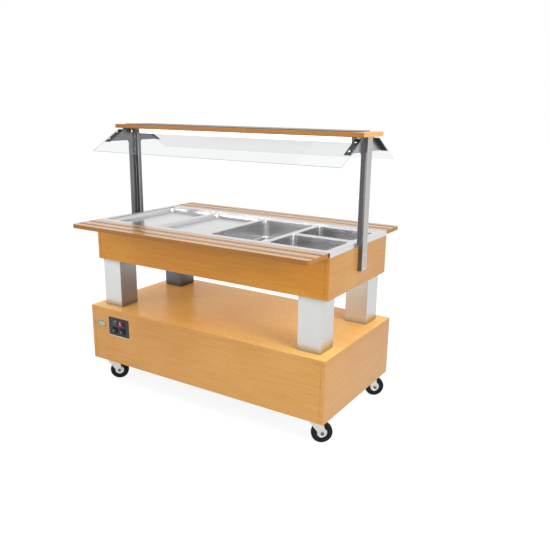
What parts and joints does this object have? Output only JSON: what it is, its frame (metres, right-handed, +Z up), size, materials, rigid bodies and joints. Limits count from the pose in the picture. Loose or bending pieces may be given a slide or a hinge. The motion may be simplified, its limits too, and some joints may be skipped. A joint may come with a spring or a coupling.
{
  "type": "mobile salad bar",
  "caption": "Refrigerated salad bar trolley: wood panelled base and tub on square steel legs, casters, fold-down tray shelves, lift-out pans, glazed canopy with a lamp.",
  "frame": {"origin": "on the floor under the middle of the cart", "axes": "+X along the length to the right of someone at the control side, -Y towards that side, +Z up"},
  "size_m": [1.468, 0.954, 1.39],
  "materials": {
    "wood_laminate": "satin honey wood laminate",
    "brushed_steel": "brushed stainless steel",
    "post_steel": "folded stainless sheet",
    "dark_strip": "dark satin strip steel",
    "top_plate": "dark grey painted sheet",
    "panel_black": "dark grey coated sheet",
    "bezel_grey": "matte moulding",
    "switch_black": "gloss moulding",
    "clear_glass": "clear toughened glass",
    "lamp_white": "opal diffuser, lit",
    "lamp_grey": "moulded end caps",
    "foam": "foamed insulation",
    "copper": "bare copper tube",
    "motor_black": "black painted pressing",
    "fin_aluminium": "bare fins",
    "fan_grey": "moulded fan",
    "zinc": "bright zinc plating",
    "tyre_black": "black rubber tyre",
    "pedal_black": "black moulding",
    "support_black": "black coated plate"
  },
  "bodies": {
    "cart": {"base_top_board": "wood_laminate", "base_left_panel": "wood_laminate", "base_right_panel": "wood_laminate", "base_front_panel": "wood_laminate", "base_back_panel": "wood_laminate", "base_floor_board": "wood_laminate", "service_panel": "brushed_steel", "mains_inlet": "switch_black", "control_plate": "panel_black", "temperature_controller": "bezel_grey", "compressor": "motor_black", "condenser": "fin_aluminium", "fan_shroud": "motor_black", "pipework": "copper", "legs": "brushed_steel", "tub_left_panel": "wood_laminate", "tub_right_panel": "wood_laminate", "tub_front_panel": "wood_laminate", "tub_back_panel": "wood_laminate", "tub_floor_board": "wood_laminate", "insulation": "foam", "well_liner": "brushed_steel", "well_rim": "brushed_steel", "divider_bars": "brushed_steel", "hinge_consoles": "brushed_steel", "post_left": "post_steel", "post_right": "post_steel", "glass_supports": "support_black", "glass_front": "clear_glass", "glass_back": "clear_glass", "screws": "zinc", "canopy_board": "wood_laminate", "canopy_top_plate": "top_plate", "lamp_body": "lamp_grey", "lamp_diffuser": "lamp_white", "caster_plates": "zinc"},
    "front_shelf": {"shelf_front_board": "wood_laminate", "shelf_front_steel": "dark_strip"},
    "back_shelf": {"shelf_back_board": "wood_laminate", "shelf_back_steel": "dark_strip"},
    "left_tray": {"tray_left": "brushed_steel"},
    "middle_tray": {"tray_middle": "brushed_steel"},
    "full_pan": {"pan_full": "brushed_steel"},
    "half_pan_front": {"pan_half_front": "brushed_steel"},
    "half_pan_back": {"pan_half_back": "brushed_steel"},
    "power_switch": {"power_rocker": "switch_black"},
    "light_switch": {"light_rocker": "switch_black"},
    "up_key": {"key_up": "bezel_grey"},
    "down_key": {"key_down": "bezel_grey"},
    "fan": {"fan_blade": "fan_grey"},
    "swivel_front_left": {"fork_front_left": "zinc"},
    "caster_wheel_front_left": {"wheel_front_left": "tyre_black"},
    "swivel_front_right": {"fork_front_right": "zinc"},
    "caster_wheel_front_right": {"wheel_front_right": "tyre_black"},
    "swivel_back_left": {"fork_back_left": "zinc"},
    "caster_wheel_back_left": {"wheel_back_left": "tyre_black"},
    "swivel_back_right": {"fork_back_right": "zinc"},
    "caster_wheel_back_right": {"wheel_back_right": "tyre_black"},
    "brake_front_left": {"pedal_front_left": "pedal_black"},
    "brake_back_left": {"pedal_back_left": "pedal_black"}
  },
  "joints": [
    {"name": "swivel_turn_front_left", "type": "hinge", "parent": "cart", "child": "swivel_front_left", "pos_m": [-0.643, -0.297, 0.118], "axis": [0, 0, 1], "continuous": true},
    {"name": "wheel_roll_front_left", "type": "hinge", "parent": "swivel_front_left", "child": "caster_wheel_front_left", "pos_m": [-0.61542, -0.27545, 0.05], "axis": [-0.6157, 0.788, 0], "continuous": true},
    {"name": "brake_press_front_left", "type": "hinge", "parent": "swivel_front_left", "child": "brake_front_left", "pos_m": [-0.61778, -0.2773, 0.107], "axis": [-0.6157, 0.788, 0], "range_deg": [0, 10]},
    {"name": "swivel_turn_front_right", "type": "hinge", "parent": "cart", "child": "swivel_front_right", "pos_m": [0.643, -0.297, 0.118], "axis": [0, 0, 1], "continuous": true},
    {"name": "wheel_roll_front_right", "type": "hinge", "parent": "swivel_front_right", "child": "caster_wheel_front_right", "pos_m": [0.67058, -0.27545, 0.05], "axis": [-0.6157, 0.788, 0], "continuous": true},
    {"name": "swivel_turn_back_left", "type": "hinge", "parent": "cart", "child": "swivel_back_left", "pos_m": [-0.643, 0.297, 0.118], "axis": [0, 0, 1], "continuous": true},
    {"name": "wheel_roll_back_left", "type": "hinge", "parent": "swivel_back_left", "child": "caster_wheel_back_left", "pos_m": [-0.61542, 0.31855, 0.05], "axis": [-0.6157, 0.788, 0], "continuous": true},
    {"name": "brake_press_back_left", "type": "hinge", "parent": "swivel_back_left", "child": "brake_back_left", "pos_m": [-0.61778, 0.3167, 0.107], "axis": [-0.6157, 0.788, 0], "range_deg": [0, 10]},
    {"name": "swivel_turn_back_right", "type": "hinge", "parent": "cart", "child": "swivel_back_right", "pos_m": [0.643, 0.297, 0.118], "axis": [0, 0, 1], "continuous": true},
    {"name": "wheel_roll_back_right", "type": "hinge", "parent": "swivel_back_right", "child": "caster_wheel_back_right", "pos_m": [0.67058, 0.31855, 0.05], "axis": [-0.6157, 0.788, 0], "continuous": true},
    {"name": "front_shelf_fold", "type": "hinge", "parent": "cart", "child": "front_shelf", "pos_m": [0, -0.322, 0.865], "axis": [1, 0, 0], "range_deg": [0, 90]},
    {"name": "back_shelf_fold", "type": "hinge", "parent": "cart", "child": "back_shelf", "pos_m": [0, 0.322, 0.865], "axis": [-1, 0, 0], "range_deg": [0, 90]},
    {"name": "power_rock", "type": "hinge", "parent": "cart", "child": "power_switch", "pos_m": [-0.547, -0.359, 0.32], "axis": [-1, 0, 0], "range_deg": [0, 14]},
    {"name": "light_rock", "type": "hinge", "parent": "cart", "child": "light_switch", "pos_m": [-0.491, -0.359, 0.32], "axis": [-1, 0, 0], "range_deg": [0, 14]},
    {"name": "up_key_press", "type": "slide", "parent": "cart", "child": "up_key", "axis": [0, 1, 0], "range_m": [0, 0.001], "stiffness_N_per_m": 600},
    {"name": "down_key_press", "type": "slide", "parent": "cart", "child": "down_key", "axis": [0, 1, 0], "range_m": [0, 0.001], "stiffness_N_per_m": 600},
    {"name": "fan_spin", "type": "hinge", "parent": "cart", "child": "fan", "pos_m": [0.01, 0.06, 0.252], "axis": [1, 0, 0], "continuous": true},
    {"name": "left_tray_lift", "type": "slide", "parent": "cart", "child": "left_tray", "axis": [0, 0, 1], "range_m": [0, 0.25]},
    {"name": "middle_tray_lift", "type": "slide", "parent": "cart", "child": "middle_tray", "axis": [0, 0, 1], "range_m": [0, 0.25]},
    {"name": "full_pan_lift", "type": "slide", "parent": "cart", "child": "full_pan", "axis": [0, 0, 1], "range_m": [0, 0.25]},
    {"name": "half_pan_front_lift", "type": "slide", "parent": "cart", "child": "half_pan_front", "axis": [0, 0, 1], "range_m": [0, 0.25]},
    {"name": "half_pan_back_lift", "type": "slide", "parent": "cart", "child": "half_pan_back", "axis": [0, 0, 1], "range_m": [0, 0.25]}
  ]
}
